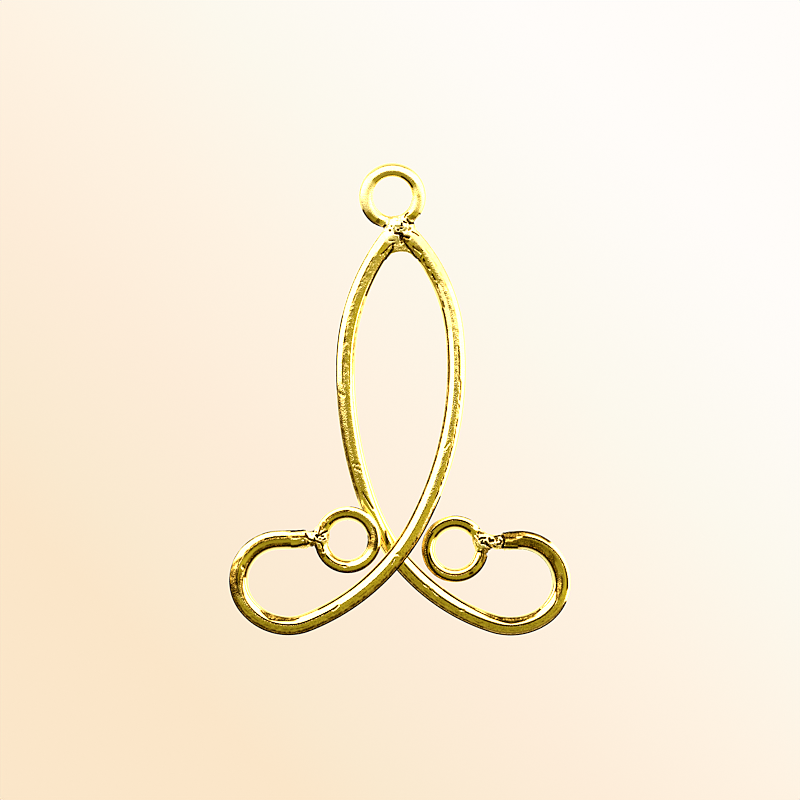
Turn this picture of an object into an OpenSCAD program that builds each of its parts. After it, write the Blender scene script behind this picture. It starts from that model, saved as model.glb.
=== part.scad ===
// Ear wire connector: two round wires bent into mirrored hooks, crossed over each other and
// soldered together at their tips, with three round eyes soldered on.
// It lies flat on the XY plane as it would on a table. The hanging eye points along +Y, the
// hook that passes over the other lies uppermost (+Z), and its eye is on the left (-X).
// Millimetres. The origin is the middle of the underside of the box round the whole part.

/* [Wire] */
// Thickness of the round wire of both hooks
hook_wire_d = 1.02; // [0.96:0.01:1.1]
// Thickness of the round wire of the three eyes
eye_wire_d = 0.74; // [0.64:0.02:0.82]
// Outside width of each eye
eye_d = 3.55; // [3.4:0.05:3.8]

/* [Tips] */
// Distance between the centres of the two tips
tip_spread = 0.82; // [0.7:0.02:0.9]
// Distance of the tips from the middle of the part
tip_y = 8.8; // [8.6:0.05:9]
// Distance of the hanging eye's centre above the tips
hanging_eye_rise = 2; // [1.9:0.05:2.1]
// Distance of the hanging eye's centre to the left of the middle line
hanging_eye_shift = 0.4; // [0.2:0.05:0.6]

/* [Over wire] */
// Slope at which the over wire leaves its tip
over_start = 45.6; // [44.6:0.1:46.6]
// Radius of its shoulder, next to the tip, measured at the wire's centre like all radii here
over_shoulder_r = 8.85; // [8.75:0.05:8.95]
// Angle that its shoulder turns through
over_shoulder_turn = 38.7; // [38.2:0.1:39.2]
// Radius of its long side
over_side_r = 17.7; // [17.5:0.1:17.9]
// Angle that its long side turns through
over_side_turn = 33.3; // [32.8:0.1:33.8]
// Radius of its flank, which passes the crossing
over_flank_r = 11.3; // [11.2:0.05:11.4]
// Angle that its flank turns through
over_flank_turn = 40.8; // [40.3:0.1:41.3]
// Radius of its foot, the lower bend of the hook
over_foot_r = 2.75; // [2.7:0.01:2.8]
// Angle that its foot turns through
over_foot_turn = 73.4; // [72.4:0.2:74.4]
// Radius of its heel, the outer and upper bend of the hook
over_heel_r = 2.15; // [2.1:0.01:2.2]
// Angle that its heel turns through
over_heel_turn = 125.9; // [124.9:0.2:126.9]
// Length of its straight end
over_lead = 1.5; // [1.3:0.05:1.7]
// Gap between its end and its eye, which the solder fills
over_eye_gap = 0.43; // [0.37:0.01:0.49]
// Angle by which its eye is turned down off the line of its end
over_eye_turn = 3.5; // [1:0.5:6]

/* [Under wire] */
// Slope at which the under wire leaves its tip
under_start = 51; // [50:0.1:52]
// Radius of its shoulder, next to the tip
under_shoulder_r = 11.1; // [11:0.05:11.2]
// Angle that its shoulder turns through
under_shoulder_turn = 37.3; // [36.8:0.1:37.8]
// Radius of its long side
under_side_r = 20.6; // [20.4:0.1:20.8]
// Angle that its long side turns through
under_side_turn = 21.3; // [20.8:0.1:21.8]
// Radius of its flank, which passes the crossing
under_flank_r = 10.4; // [10.3:0.05:10.5]
// Angle that its flank turns through
under_flank_turn = 52.6; // [52.1:0.1:53.1]
// Radius of its foot, the lower bend of the hook
under_foot_r = 3.05; // [3:0.01:3.1]
// Angle that its foot turns through
under_foot_turn = 51.5; // [50.5:0.2:52.5]
// Radius of its heel, the outer and upper bend of the hook
under_heel_r = 2.2; // [2.15:0.01:2.25]
// Angle that its heel turns through
under_heel_turn = 150.9; // [149.9:0.2:151.9]
// Length of its straight end
under_lead = 0.7; // [0.6:0.05:0.8]
// Gap between its end and its eye, which the solder fills
under_eye_gap = 0.81; // [0.75:0.01:0.87]
// Angle by which its eye is turned down off the line of its end
under_eye_turn = 4.4; // [3:0.2:6]

/* [Crossing] */
// Distance from the tips down to the crossing
crossing_drop = 17; // [16.9:0.02:17.1]
// Clearance between the two wires where they cross
crossing_gap = 0.05; // [0.04:0.01:0.1]

/* [Solder] */
// Width of the two beads between the tips and the hanging eye
tip_bead_d = 1; // [0.9:0.02:1]
// Distance between the two beads
tip_bead_spread = 0.64; // [0.5:0.02:0.7]
// Height of the beads above the tips
tip_bead_rise = 0.42; // [0.35:0.01:0.5]
// Width of the web in the crotch under the tips, at its upper edge
web_top_w = 0.3; // [0.26:0.02:0.34]
// Distance of its upper edge above the tips, inside the beads
web_top_rise = 0.15; // [0.12:0.01:0.2]
// Width of the web at its lower edge, where both its ends lie inside the wires
web_w = 2.2; // [2.1:0.05:2.3]
// Distance of its lower edge below the tips
web_drop = 1.3; // [1.24:0.02:1.34]
// Thickness of the web
web_t = 0.6; // [0.5:0.02:0.7]
// Depth of the hollow in its lower edge
web_hollow = 0.36; // [0.3:0.01:0.4]
// Radius of that hollow
web_hollow_r = 1; // [0.95:0.01:1.05]
// Distance of the hollow's middle to the right of the middle line
web_hollow_shift = 0.06; // [0.02:0.01:0.1]
// Width of the bead on each of the two lower eyes
eye_bead_d = 1.04; // [0.98:0.02:1.1]
// Distance of these beads above the line of the wire's end
eye_bead_rise = 0.08; // [0.04:0.01:0.12]
// Distance from the outer edge of a lower eye in to the middle of its bead
eye_bead_in = 0.27; // [0.2:0.01:0.34]
// Width of the neck of solder between the left eye and its hook
left_neck_d = 0.94; // [0.86:0.01:0.95]
// Width of the neck of solder between the right eye and its hook
right_neck_d = 0.82; // [0.76:0.01:0.9]

/* [Hidden] */
$fn = 72;
GOLD = "gold";
PALE_GOLD = "khaki";
// Columns of the tables of bends
RADIUS = 0;
TURN = 1;
// Bends of each hook in order from its tip
OVER_BENDS = [
    [over_shoulder_r, over_shoulder_turn],
    [over_side_r, over_side_turn],
    [over_flank_r, over_flank_turn],
    [over_foot_r, over_foot_turn],
    [over_heel_r, over_heel_turn],
];
UNDER_BENDS = [
    [under_shoulder_r, under_shoulder_turn],
    [under_side_r, under_side_turn],
    [under_flank_r, under_flank_turn],
    [under_foot_r, under_foot_turn],
    [under_heel_r, under_heel_turn],
];
// Height of the wires' centres above the table
rest_z = hook_wire_d / 2;
eye_r = (eye_d - eye_wire_d) / 2;
// Slope of the over wire, which climbs from its tip onto the under wire
climb = atan((hook_wire_d + crossing_gap) / crossing_drop);
// Length by which solder runs into the metal that it joins
bite = 0.2;
// A bend stops this short of its joint with the next, and a thin disc this much wider than the
// wire joins the two, so that the bends become one solid
hair = 0.008;
disc_d = hook_wire_d + hair;
disc_t = 4 * hair;

// Carries its children along a row of bends to the right, from the start of the first bend
// to the end of the last. The wire runs along +X at both places.
module after_bends(bends, i = 0) {
    if (i == len(bends)) {
        children();
    } else {
        translate([0, -bends[i][RADIUS], 0])
            rotate([0, 0, -bends[i][TURN]])
                translate([0, bends[i][RADIUS], 0])
                    after_bends(bends, i + 1) children();
    }
}

// One bend of the hook wire, from the origin along +X and to the right
module bend(radius, turn) {
    short = hair / radius * 180 / PI;
    translate([0, -radius, 0])
        rotate([0, 0, 90 - turn + short])
            rotate_extrude(angle = turn - 2 * short)
                translate([radius, 0])
                    circle(d = hook_wire_d);
}

// A whole hook of wire: its bends, each starting where the last one ends, and a straight end
module hook(bends, lead) {
    for (i = [0 : len(bends) - 1]) {
        done = [for (k = [0 : 1 : i - 1]) bends[k]];
        after_bends(done)
            bend(bends[i][RADIUS], bends[i][TURN]);
        after_bends(concat(done, [bends[i]]))
            translate([-disc_t / 2, 0, 0])
                rotate([0, 90, 0])
                    cylinder(d = disc_d, h = disc_t);
    }
    after_bends(bends)
        translate([hair, 0, 0])
            rotate([0, 90, 0])
                cylinder(d = hook_wire_d, h = lead - hair);
}

// A closed round eye, flat round the origin
module eye() {
    rotate_extrude()
        translate([eye_r, 0])
            circle(d = eye_wire_d);
}

// An eye beyond the end of a hook, with the neck and the bead of solder that hold it
module soldered_eye(gap, turn, neck_d) {
    color(GOLD)
        rotate([0, 0, -turn])
            translate([gap + eye_d / 2, 0, 0])
                eye();
    color(PALE_GOLD) {
        translate([-bite, 0, 0])
            rotate([0, 90, 0])
                cylinder(d = neck_d, h = bite + gap + eye_wire_d / 2);
        translate([gap + eye_bead_in, eye_bead_rise, 0])
            sphere(d = eye_bead_d);
    }
}

// Places its children at the over wire's tip, in the plane that climbs towards the crossing
module at_over_tip() {
    translate([tip_spread / 2, tip_y, rest_z])
        rotate([-climb, 0, 0])
            rotate([0, 0, -over_start])
                children();
}

// Places its children at the under wire's tip. It is bent the other way.
module at_under_tip() {
    mirror([1, 0, 0])
        translate([tip_spread / 2, tip_y, rest_z])
            rotate([0, 0, -under_start])
                children();
}

// The wire that passes over, down the right side and round to the lower left
module over_wire() {
    color(GOLD)
        at_over_tip()
            hook(OVER_BENDS, over_lead);
}

// The wire that passes under, down the left side and round to the lower right
module under_wire() {
    color(GOLD)
        at_under_tip()
            hook(UNDER_BENDS, under_lead);
}

// The lower left eye, on the over wire's end
module left_eye() {
    at_over_tip()
        after_bends(OVER_BENDS)
            translate([over_lead, 0, 0])
                soldered_eye(over_eye_gap, over_eye_turn, left_neck_d);
}

// The lower right eye, on the under wire's end
module right_eye() {
    at_under_tip()
        after_bends(UNDER_BENDS)
            translate([under_lead, 0, 0])
                soldered_eye(under_eye_gap, under_eye_turn, right_neck_d);
}

// The upper eye, which the ear wire hangs from
module hanging_eye() {
    color(GOLD)
        translate([-hanging_eye_shift, tip_y + hanging_eye_rise, rest_z])
            eye();
}

// Outline of the web of solder in the crotch, from the line of the tips down
module web() {
    difference() {
        polygon([
            [-web_top_w / 2, web_top_rise],
            [web_top_w / 2, web_top_rise],
            [web_w / 2, -web_drop],
            [-web_w / 2, -web_drop],
        ]);
        translate([web_hollow_shift, web_hollow - web_drop - web_hollow_r])
            circle(r = web_hollow_r);
    }
}

// Solder that joins the two tips and the hanging eye, and fills the crotch below them
module tip_solder() {
    color(PALE_GOLD) {
        for (side = [-1, 1]) {
            translate([side * tip_bead_spread / 2, tip_y + tip_bead_rise, rest_z])
                sphere(d = tip_bead_d);
        }
        translate([0, tip_y, rest_z - web_t / 2])
            linear_extrude(web_t)
                web();
    }
}

// The whole connector, one soldered piece
module connector_frame() {
    over_wire();
    under_wire();
    hanging_eye();
    left_eye();
    right_eye();
    tip_solder();
}

connector_frame();
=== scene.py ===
import math
from collections import namedtuple
from itertools import combinations

import bmesh
import bpy
import numpy as np
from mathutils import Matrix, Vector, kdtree

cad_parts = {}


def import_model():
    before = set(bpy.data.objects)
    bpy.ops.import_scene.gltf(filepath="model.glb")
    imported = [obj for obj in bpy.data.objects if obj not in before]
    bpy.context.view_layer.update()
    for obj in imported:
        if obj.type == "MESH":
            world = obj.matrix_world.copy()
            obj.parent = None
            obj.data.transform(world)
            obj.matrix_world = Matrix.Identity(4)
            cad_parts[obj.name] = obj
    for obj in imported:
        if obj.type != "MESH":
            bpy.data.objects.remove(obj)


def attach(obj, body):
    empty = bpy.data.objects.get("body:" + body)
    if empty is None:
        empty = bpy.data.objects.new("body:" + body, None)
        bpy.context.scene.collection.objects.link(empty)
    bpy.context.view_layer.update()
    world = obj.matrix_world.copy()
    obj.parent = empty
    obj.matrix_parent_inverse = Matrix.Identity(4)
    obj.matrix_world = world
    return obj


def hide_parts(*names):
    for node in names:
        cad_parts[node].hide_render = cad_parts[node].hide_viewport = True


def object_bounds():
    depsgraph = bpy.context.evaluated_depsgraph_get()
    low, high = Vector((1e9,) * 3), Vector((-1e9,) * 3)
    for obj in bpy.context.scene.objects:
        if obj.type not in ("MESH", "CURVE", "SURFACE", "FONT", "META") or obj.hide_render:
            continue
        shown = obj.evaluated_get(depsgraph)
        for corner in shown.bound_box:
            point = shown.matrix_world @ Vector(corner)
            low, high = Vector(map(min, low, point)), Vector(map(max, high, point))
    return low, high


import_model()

# Ear wire connector of gold wire, lying on a pale surface and seen from straight above.
# Shapes are worked out in millimetres, in the frame of the CAD model, and built in metres.
MM = 0.001
CAD_BOX = [list(corner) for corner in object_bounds()]
FLOOR_Z = CAD_BOX[0][2] / MM
# Guards divisions by lengths that can be 0
TINY = 1e-9
# The eight corners of a cell
CORNERS = np.array(list(np.ndindex(2, 2, 2)))

# Wires, as in the CAD model. Their radii are a hair smaller, so that all stays inside its box.
HOOK_R = 0.506
EYE_WIRE_R = 0.367
EYE_R = 1.405
REST_Z = 0.51
TIP_X = 0.41
TIP_Y = 8.8
CLIMB = math.radians(3.602)
# Bends of each hook from its tip: radius, turn in degrees
OVER_BENDS = ((8.85, 38.7), (17.7, 33.3), (11.3, 40.8), (2.75, 73.4), (2.15, 125.9))
UNDER_BENDS = ((11.1, 37.3), (20.6, 21.3), (10.4, 52.6), (3.05, 51.5), (2.2, 150.9))
# Slope at the tip in degrees, length of the straight end, gap between that end and the eye, and the
# angle in degrees by which the eye is turned down off the line of the end
OVER_START, UNDER_START = 45.6, 51
OVER_LEAD, UNDER_LEAD = 1.5, 0.7
OVER_GAP, UNDER_GAP = 0.43, 0.81
OVER_EYE_TURN, UNDER_EYE_TURN = 3.5, 4.4
TOP_EYE = np.array((-0.4, TIP_Y + 2, REST_Z))

# Steps of the meshes
WIRE_STEP = 0.078
WIRE_SIDES = 56
EYE_STEP = 0.08
EYE_SIDES = 42
# Vertices round a wire lie closer together on its upper side, by up to this share
CROWDING = 0.4
SOLDER_STEP = 0.036

# Solder: how softly it flows onto the wires, how far its mesh dives under theirs at its edge, and
# over what width
FLOW = 0.16
DIVE = 0.03
DIVE_WIDTH = 0.12


def turned(angle):
    """Turn about Z by an angle in radians."""
    c, s = math.cos(angle), math.sin(angle)
    return np.array(((c, -s, 0), (s, c, 0), (0, 0, 1)))


def tilted(angle):
    """Turn about X by an angle in radians."""
    c, s = math.cos(angle), math.sin(angle)
    return np.array(((1, 0, 0), (0, c, -s), (0, s, c)))


def smooth_step(x, low, high):
    """0 below low, 1 above high and a smooth rise between."""
    t = np.clip((x - low) / (high - low), 0, 1)
    return t * t * (3 - 2 * t)


def smooth_union(a, b, k):
    """Union of two distance fields with a fillet of about k."""
    h = np.clip(0.5 + 0.5 * (b - a) / k, 0, 1)
    return b + (a - b) * h - k * h * (1 - h)


def unit(v):
    """Vectors made 1 long."""
    return v / np.maximum(np.linalg.norm(v, axis=-1, keepdims=True), TINY)


def off_segment(points, start, end):
    """Distance of points to the straight line between two places."""
    run = end - start
    t = np.clip((points - start) @ run / max(run @ run, TINY), 0, 1)
    return np.linalg.norm(points - start - t[:, None] * run, axis=1)


class Lattice:
    """Smooth noise in space, from -1 to 1, out of a seeded lattice of values."""

    SIZE = 32

    def __init__(self, seed):
        self.values = np.random.default_rng(seed).uniform(-1, 1, (self.SIZE,) * 3)

    def at(self, points, scale):
        """The noise at points, with its waves about as long as the scale."""
        q = points / scale
        cell = np.floor(q).astype(int)
        t = q - cell
        t = t * t * (3 - 2 * t)
        total = 0
        for corner in CORNERS:
            i, j, k = ((cell + corner) % self.SIZE).T
            total = total + np.abs(1 - corner - t).prod(1) * self.values[i, j, k]
        return total


class Hook:
    """Centre line of a hook: bends to the right from its tip, then a straight end."""

    def __init__(self, bends, start, lead, climb, mirrored):
        self.turn_to_world = tilted(-climb) @ turned(-math.radians(start))
        self.tip = np.array((TIP_X, TIP_Y, REST_Z))
        if mirrored:
            flip = np.diag((-1.0, 1.0, 1.0))
            self.turn_to_world = flip @ self.turn_to_world
            self.tip = flip @ self.tip
        self.arcs = []
        x = y = heading = length = 0.0
        for r, degrees in bends:
            turn = math.radians(degrees)
            cx, cy = x + r * math.sin(heading), y - r * math.cos(heading)
            self.arcs.append((cx, cy, r, heading, turn, length))
            heading -= turn
            length += r * turn
            x, y = cx - r * math.sin(heading), cy + r * math.cos(heading)
        self.end = (x, y, heading)
        self.lead = lead
        self.bent_length = length

    def to_world(self, own):
        """Points of the hook's own frame, in the world."""
        return own @ self.turn_to_world.T + self.tip

    def to_own(self, points):
        """Points of the world, in the hook's own frame."""
        return (points - self.tip) @ self.turn_to_world

    def frames(self, s):
        """Centre, direction to the right and direction up, in the world, at lengths s from the tip."""
        own = np.zeros((len(s), 3))
        heading = np.zeros(len(s))
        for cx, cy, r, start, _, length in self.arcs:
            here = s >= length
            a = start - (s[here] - length) / r
            heading[here] = a
            own[here, 0] = cx - r * np.sin(a)
            own[here, 1] = cy + r * np.cos(a)
        x, y, last = self.end
        here = s >= self.bent_length
        heading[here] = last
        own[here, 0] = x + (s[here] - self.bent_length) * math.cos(last)
        own[here, 1] = y + (s[here] - self.bent_length) * math.sin(last)
        right = np.stack((np.sin(heading), -np.cos(heading), np.zeros(len(s))), 1)
        up = np.tile(self.turn_to_world[:, 2], (len(s), 1))
        return self.to_world(own), right @ self.turn_to_world.T, up

    def near_tip(self, points):
        """Distance to the wire's surface along its first bend."""
        return self.off_bend(self.to_own(points), *self.arcs[0])

    def near_end(self, points):
        """Distance to the wire's surface along its last bend and its straight end, which is cut flat."""
        own = self.to_own(points)
        x, y, heading = self.end
        along = (own[:, 0] - x) * math.cos(heading) + (own[:, 1] - y) * math.sin(heading)
        across = -(own[:, 0] - x) * math.sin(heading) + (own[:, 1] - y) * math.cos(heading)
        side = np.hypot(across, own[:, 2]) - HOOK_R
        over = np.maximum(along - self.lead, -along - HOOK_R)
        outside = np.hypot(np.maximum(side, 0), np.maximum(over, 0))
        straight = np.minimum(np.maximum(side, over), 0) + outside
        return np.minimum(self.off_bend(own, *self.arcs[-1]), straight)

    @staticmethod
    def off_bend(own, cx, cy, r, start, turn, _):
        """Distance of points of the hook's own frame to the wire's surface along one of its bends."""
        a = start - np.arctan2(cx - own[:, 0], own[:, 1] - cy)
        a = (a - turn / 2 + math.pi) % (2 * math.pi) - math.pi + turn / 2
        a = start - np.clip(a, 0, turn)
        middle = np.stack((cx - r * np.sin(a), cy + r * np.cos(a), np.zeros(len(a))), 1)
        return np.linalg.norm(own - middle, axis=1) - HOOK_R

    def end_frame(self):
        """Turn and place of the wire's end: X runs on along the wire."""
        x, y, heading = self.end
        own = np.array((x + self.lead * math.cos(heading), y + self.lead * math.sin(heading), 0))
        return self.turn_to_world @ turned(heading), self.to_world(own)


class Eye:
    """A closed round eye, at a place and with a turn in the world."""

    def __init__(self, turn_to_world, centre):
        self.turn_to_world = turn_to_world
        self.centre = centre

    def frames(self, a):
        """Centre of the wire, direction outwards and direction up at angles a."""
        out = np.stack((np.cos(a), np.sin(a), np.zeros(len(a))), 1) @ self.turn_to_world.T
        up = np.tile(self.turn_to_world[:, 2], (len(a), 1))
        return self.centre + EYE_R * out, out, up

    def distance(self, points):
        """Distance to the eye's surface."""
        own = (points - self.centre) @ self.turn_to_world
        ring = np.sqrt(own[:, 0] ** 2 + own[:, 1] ** 2) - EYE_R
        return np.sqrt(ring ** 2 + own[:, 2] ** 2) - EYE_WIRE_R


def eye_beyond(hook, gap, turn):
    """The eye that is soldered onto a hook's end. Its own -X side faces the hook."""
    end_turn, place = hook.end_frame()
    aim = end_turn @ turned(-math.radians(turn))
    return Eye(aim, place + aim @ np.array((gap + EYE_R + EYE_WIRE_R, 0, 0)))


over_hook = Hook(OVER_BENDS, OVER_START, OVER_LEAD, CLIMB, False)
under_hook = Hook(UNDER_BENDS, UNDER_START, UNDER_LEAD, 0, True)
left_eye = eye_beyond(over_hook, OVER_GAP, OVER_EYE_TURN)
right_eye = eye_beyond(under_hook, UNDER_GAP, UNDER_EYE_TURN)
top_eye = Eye(np.eye(3), TOP_EYE)


def rod(start, end, r):
    """Distance to a straight rod of solder with round ends, as a function of points."""
    start, end = np.array(start), np.array(end)
    return lambda points: off_segment(points, start, end) - r


def bead(place, r):
    """The same for a round bead of solder, which is a rod of no length."""
    return rod(place, place, r)


# The web in the crotch: half the width and the height of its upper and its lower edge, half its
# thickness, and the radius of its edges
WEB_TOP_HALF, WEB_TOP_Y = 0.15, TIP_Y + 0.15
WEB_LOW_HALF, WEB_LOW_Y = 1.1, TIP_Y - 1.3
WEB_HALF_T, WEB_ROUND = 0.3, 0.12
# The hollow in its lower edge: its middle, depth and radius
HOLLOW_X, HOLLOW_DEPTH, HOLLOW_R = 0.06, 0.36, 1


def web(points):
    """Distance to the web: a rounded plate with a round hollow in its lower edge."""
    x, y, z = points[:, 0], points[:, 1], points[:, 2] - REST_Z
    slope = (WEB_LOW_HALF - WEB_TOP_HALF) / (WEB_TOP_Y - WEB_LOW_Y)
    half = WEB_TOP_HALF + (WEB_TOP_Y - y) * slope
    side = (np.abs(x) - half) / math.hypot(1, slope)
    hollow_y = WEB_LOW_Y + HOLLOW_DEPTH - HOLLOW_R
    lower = HOLLOW_R - np.hypot(x - HOLLOW_X, y - hollow_y)
    plan = np.max((side, y - WEB_TOP_Y, lower, WEB_LOW_Y - y), axis=0)
    a, b = plan + WEB_ROUND, np.abs(z) - WEB_HALF_T + WEB_ROUND
    outside = np.hypot(np.maximum(a, 0), np.maximum(b, 0))
    return np.minimum(np.maximum(a, b), 0) + outside - WEB_ROUND


grain = Lattice(seed=11)
lumps = Lattice(seed=12)

# Where the photo shows a place: its pixels per millimetre, and the pixel at the frame's origin
PIXELS = 18.9
ORIGIN_PIXEL = (399.5, 400.0)
# The tables of marks hold small sizes in hundredths of a millimetre, and shares in percent
PARTS = 100


def from_photo(pixels):
    """Places on the photo, in millimetres."""
    p = np.array(pixels, float)
    return np.stack((p[:, 0] - ORIGIN_PIXEL[0], ORIGIN_PIXEL[1] - p[:, 1]), 1) / PIXELS


def near_path(points, path, width):
    """1 on a path across the points' plan, fading over its width."""
    plan = points[:, :2]
    off = np.min([off_segment(plan, a, b) for a, b in zip(path[:-1], path[1:])], axis=0)
    return np.exp(-(off / width) ** 2)


class Joint:
    """A place where wires are soldered. Its mesh takes over from theirs inside a ball round it."""

    # Bumps of the solder, in shares of its roughness: their mean, then size and share of the coarse
    # and of the fine ones, and how far the noise of the fine ones is moved
    BUMPS, COARSE, FINE, MOVED = 0.6, (0.31, 0.5), (0.13, 0.7), 3.7
    # Distance from the solder over which its roughness and its look fade out on the wires
    NEAR = 0.3
    # The upper side begins between these heights above the middle of the joint
    UPPER = (-0.25, 0.05)
    # Worn places: width over which those on the lower side end at the edge of the ball, and how pale
    WORN_FADE, WORN_PALE = 0.5, 0.25
    # A tint is full up to the first share of its radius and ends at the second
    TINT_EDGE = (0.6, 1.2)
    # How far the joint's mesh goes on beyond the ball, and how far before the edge of the ball
    # either mesh starts to dive, in widths of the dive
    BEYOND, BEFORE = 1.5, 0.25

    def __init__(self, centre, reach, wires, solder, rough, cracks_and_shade_lines, tints):
        self.centre, self.reach = np.array(centre), reach
        self.wires, self.solder, self.rough = wires, solder, rough
        self.cracks_and_shade_lines = [(from_photo(path), width / PARTS, depth / PARTS, dark / PARTS)
                       for width, depth, dark, *path in cracks_and_shade_lines]
        self.tints = [(from_photo([(x, y)])[0], r / PARTS, dark / PARTS, pale / PARTS)
                      for x, y, r, dark, pale in tints]

    def off(self, points):
        """Distance from the middle of the joint."""
        return np.linalg.norm(points - self.centre, axis=1)

    def body(self, points):
        """Distance to the solder by itself."""
        solder = self.solder[0](points)
        for part in self.solder[1:]:
            solder = smooth_union(solder, part(points), FLOW)
        return solder

    def near(self, solder):
        """1 on the solder, fading to 0 on the wires, by the distance to the solder."""
        return 1 - smooth_step(solder, 0, self.NEAR)

    def upper(self, points):
        """1 on the upper side, fading to 0 on the underside."""
        return smooth_step(points[:, 2] - self.centre[2], *self.UPPER)

    def metal(self, points):
        """Distance to the wires and the solder that flows onto them."""
        wires = np.min([wire(points) for wire in self.wires], axis=0)
        solder = self.body(points)
        bumps = self.BUMPS + lumps.at(points, self.COARSE[0]) * self.COARSE[1]
        bumps = bumps + lumps.at(points + self.MOVED, self.FINE[0]) * self.FINE[1]
        whole = smooth_union(wires, solder, FLOW) + self.rough * self.near(solder) * bumps
        upper = self.upper(points)
        for path, width, depth, _ in self.cracks_and_shade_lines:
            whole = whole + depth * upper * near_path(points, path, width)
        return np.maximum(whole, FLOOR_Z - points[:, 2])

    def look(self, points):
        """How worn and how pale the surface is, and how dark with painted shade in its cracks, pits and
        tints.
        """
        upper = self.upper(points)
        dark = np.zeros(len(points))
        inner = 1 - smooth_step(self.off(points), self.reach - self.WORN_FADE, self.reach)
        worn = self.near(self.body(points)) * np.maximum(upper, inner)
        pale = self.WORN_PALE * worn
        core, edge = self.TINT_EDGE
        for place, r, more_painted_shade, more_pale in self.tints:
            off = np.linalg.norm(points[:, :2] - place, axis=1)
            here = 1 - smooth_step(off, core * r, edge * r)
            # Dark tints are painted shade
            dark = np.maximum(dark, here * more_painted_shade * upper)
            pale = np.maximum(pale, here * more_pale)
        # Cracks, pits and edge lines are darkened with painted shade
        for path, width, _, painted_shade_darkness in self.cracks_and_shade_lines:
            dark = np.maximum(dark, painted_shade_darkness * upper * near_path(points, path, width))
        return worn, dark, pale

    def field(self, points):
        """What is meshed: it dives under the wires' meshes at its edge and ends inside them."""
        off = self.off(points)
        dive = smooth_step(off, self.reach - self.BEFORE * DIVE_WIDTH, self.reach + DIVE_WIDTH)
        return np.maximum(self.metal(points) + DIVE * dive, off - self.reach - self.BEYOND * DIVE_WIDTH)

    def sink(self, points):
        """How far the meshes of the wires dive inside this joint."""
        start = self.reach + self.BEFORE * DIVE_WIDTH
        return DIVE * (1 - smooth_step(self.off(points), self.reach - DIVE_WIDTH, start))


# Cracks and pits of the joints, darkened with painted shade, and dark lines of painted shade along
# the wires' edges where the depth is 0: width and depth in hundredths of a millimetre, how dark in
# percent, and the path across the photo in pixels
TOP_CRACKS_AND_SHADE_LINES = (
    (6, 5, 100, (374, 222.2), (376.7, 224.1), (381.4, 228.2), (384.6, 225)),
    (5, 7, 90, (389.2, 230.3), (389.8, 230.3)), (5, 7, 100, (397.2, 229.6), (398, 229.6)),
    (5, 7, 100, (400.2, 228), (401.2, 228)), (5, 8, 100, (401.2, 223.4), (401.2, 225.2)),
    (5, 7, 100, (403.3, 221.3), (405.8, 222.6)), (6, 8, 100, (406.7, 219.4), (409.5, 223.2)),
    (5, 4, 80, (404.2, 216.9), (405.1, 214.1), (407.6, 212.3)),
    (6, 5, 100, (408.9, 222.9), (413.6, 222.6), (418.3, 217.6)),
    (5, 5, 50, (407.9, 229.6), (410.1, 228.2)), (5, 4, 40, (403.4, 230.7), (404.4, 230.7)),
    (7, 10, 100, (394.8, 232.8), (398.6, 233.2), (401.4, 233.8), (402, 236), (407, 236.9), (408.3, 237.3)),
    (7, 6, 85, (400.4, 235), (400.9, 238.5), (401.1, 242.3)),
    (4.5, 3, 90, (411.4, 231.3), (414.5, 232.6), (417.9, 235.1)),
    (5, 3, 60, (388.9, 240.4), (393.6, 240.1)),
    (4.5, 3, 80, (394.5, 242.9), (389.5, 245.4), (385.4, 249.8), (380.4, 254.4)),
    (7, 0, 100, (392.6, 243.5), (392.3, 248.5), (387.9, 254.1), (383.3, 261.3)),
    (6, 2, 100, (403.4, 241.5), (408.6, 248), (413.6, 254.2), (418, 260)),
    (5, 4, 90, (412.6, 246), (414.4, 248.2)), (5, 4, 80, (416, 249.2), (420.5, 252.4)),
)
LEFT_CRACKS_AND_SHADE_LINES = (
    (5.5, 6, 100, (305.3, 533), (307.8, 537.7), (310.6, 539.3), (316.3, 540.5), (320.6, 542.1),
     (321.9, 545.5), (323.1, 550.5)),
    (6, 8, 100, (313, 529.3), (313, 530.3)), (5, 5, 50, (309.6, 530.6), (310.4, 530.6)),
    (5, 5, 50, (315.5, 531), (316.3, 531)), (5, 5, 60, (316.6, 523.5), (317.2, 522.6)),
    (5.5, 4, 90, (320, 526.1), (319.4, 529.3), (318.4, 532.4)),
    (6, 8, 100, (326.3, 530.5), (322.5, 532.1), (318.8, 534.9), (315.6, 534.9)),
    (5, 7, 100, (317, 534.5), (317, 537)), (5, 7, 100, (321, 535.5), (323, 535.7)),
    (5, 7, 100, (323, 538.9), (324.6, 538.2)), (5, 7, 100, (314.3, 537.6), (314.2, 539.6)),
    (5, 6, 60, (319.6, 538.6), (320.4, 538.6)),
    (8, 0, 100, (284, 545.9), (296.3, 545.3), (302.5, 543.6), (308.1, 542.2)),
    (8, 2, 90, (284, 536.5), (297, 535.9), (301.3, 535.7), (305, 535.8)),
    (5, 0, 100, (284, 530.8), (298.1, 529.9), (305.9, 528.8)),
    (8, 0, 100, (315.3, 545), (317.2, 551), (320.3, 557), (323, 561)),
    (5, 5, 80, (312, 543.6), (313.6, 545.6)), (5, 5, 70, (315.5, 543), (316.5, 545)),
)
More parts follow.
